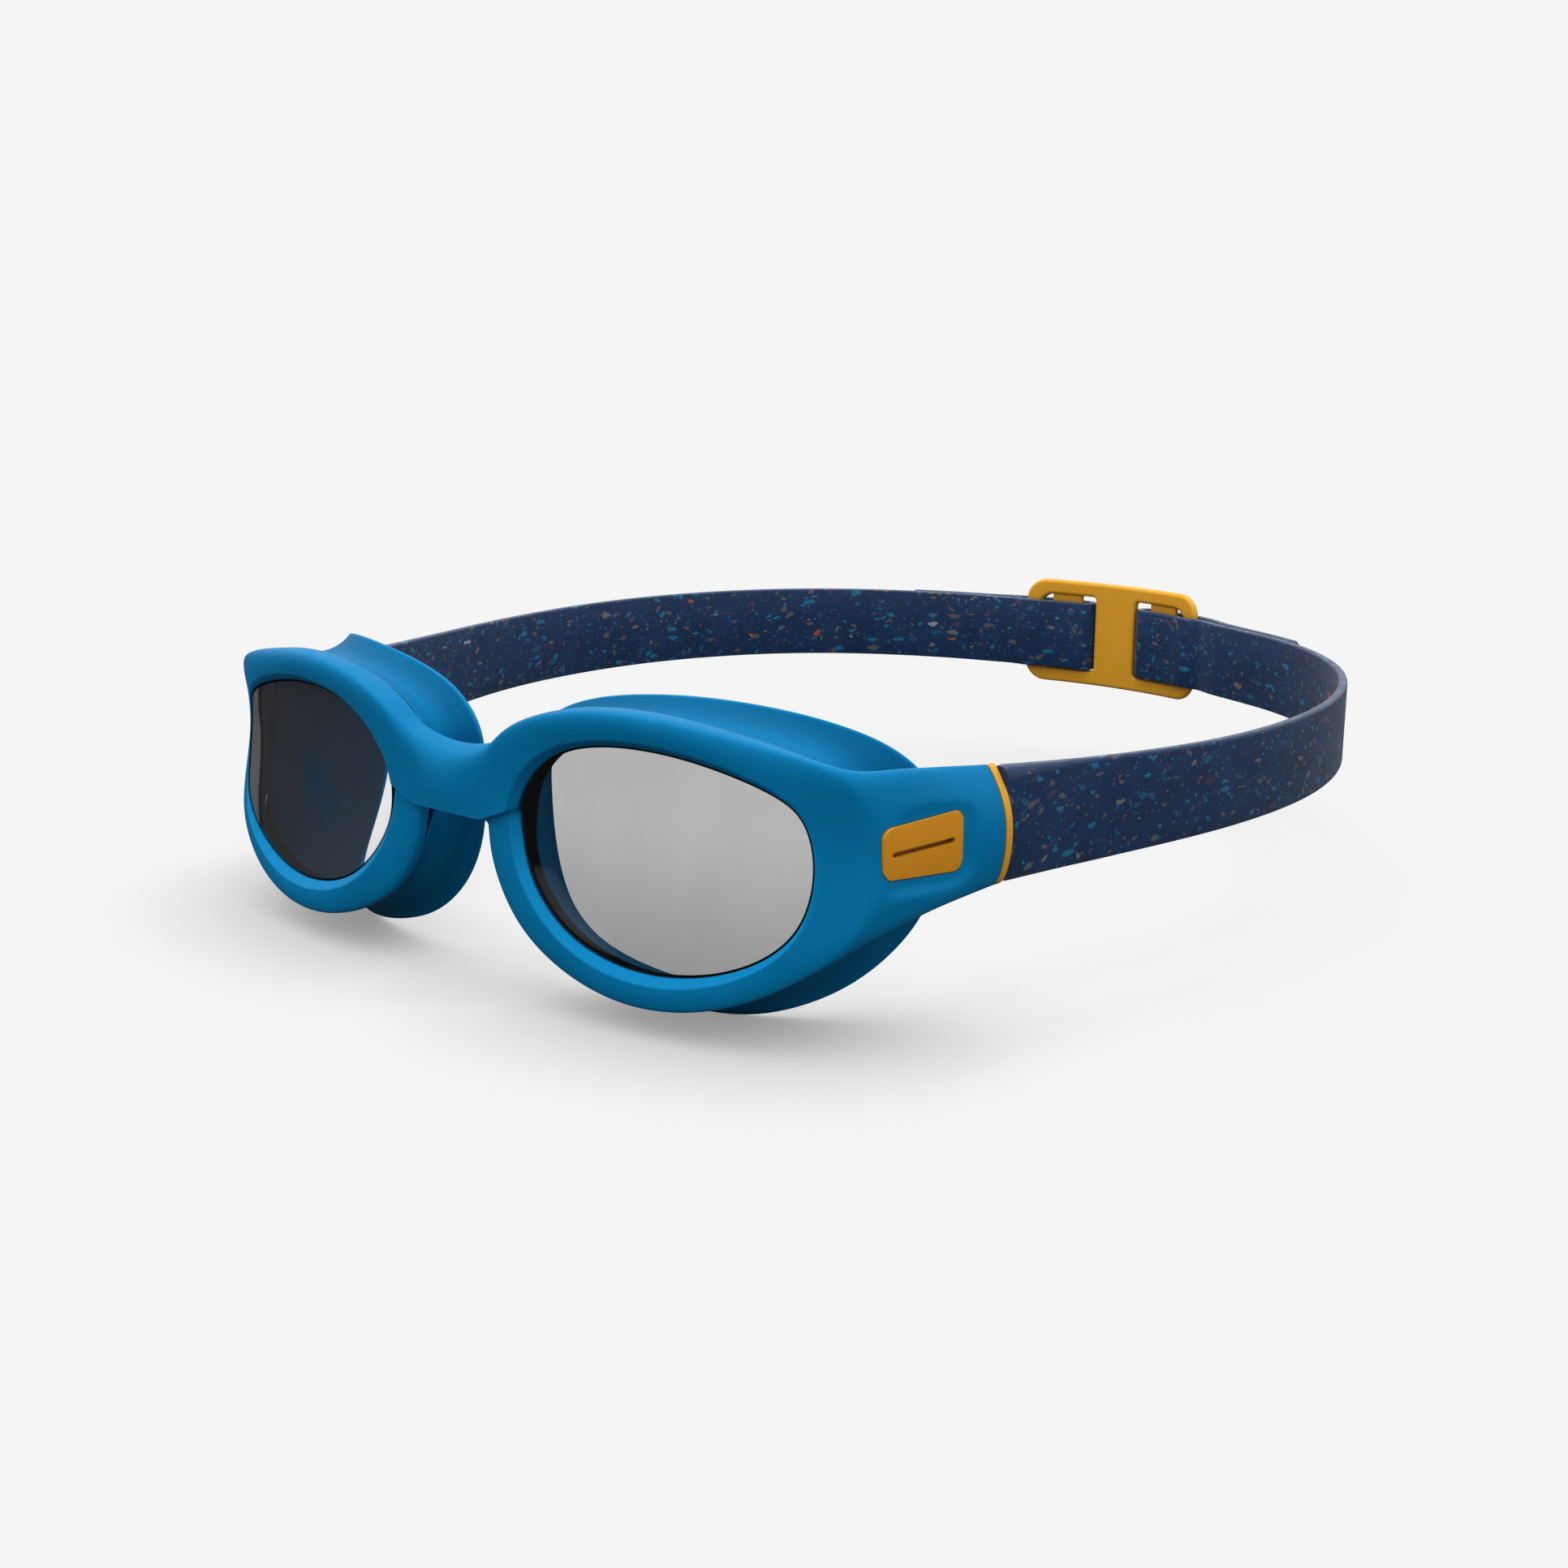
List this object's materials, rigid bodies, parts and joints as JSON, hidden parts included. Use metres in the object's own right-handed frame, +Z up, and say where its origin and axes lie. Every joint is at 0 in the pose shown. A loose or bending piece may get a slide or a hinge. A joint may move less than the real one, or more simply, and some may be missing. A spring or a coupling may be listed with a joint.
{
  "type": "swim goggles",
  "caption": "Swim goggles with a one-piece soft frame, two smoke lenses, soft face gaskets and a two-part silicone strap joined by a slotted rear buckle.",
  "frame": {"origin": "centre of the whole object's box at rest: on the symmetry plane of the two eyes, half way between the lenses and the rear buckle", "axes": "+X towards the wearer's left, +Y backwards from the lenses to the rear buckle, +Z up"},
  "size_m": [0.1836, 0.209, 0.0512],
  "materials": {
    "frame_blue": "satin moulded thermoplastic elastomer",
    "lens_smoke": "clear polished light-smoke polycarbonate",
    "gasket_blue": "soft satin elastomer",
    "amber_plastic": "fine satin injection moulded",
    "strap_navy": "matte silicone with recycled coloured flecks"
  },
  "bodies": {
    "mask": {"frame": "frame_blue", "lens_left": "lens_smoke", "lens_right": "lens_smoke", "gasket_left": "gasket_blue", "gasket_right": "gasket_blue", "strap_connector_left": "amber_plastic", "strap_connector_right": "amber_plastic", "strap_collar_left": "amber_plastic", "strap_collar_right": "amber_plastic"},
    "straps": {"strap_left": "strap_navy", "strap_right": "strap_navy"},
    "buckle": {"strap_buckle": "amber_plastic"}
  },
  "joints": [
    {"name": "strap_swing", "type": "hinge", "parent": "mask", "child": "straps", "pos_m": [0, -0.05711, 0.00585], "axis": [1, 0, 0], "range_deg": [-30, 30], "deforming": ["strap_left", "strap_right"]},
    {"name": "buckle_travel", "type": "slide", "parent": "straps", "child": "buckle", "axis": [0, 1, 0], "range_m": [-0.015, 0.03], "deforming": ["strap_left", "strap_right"]}
  ]
}
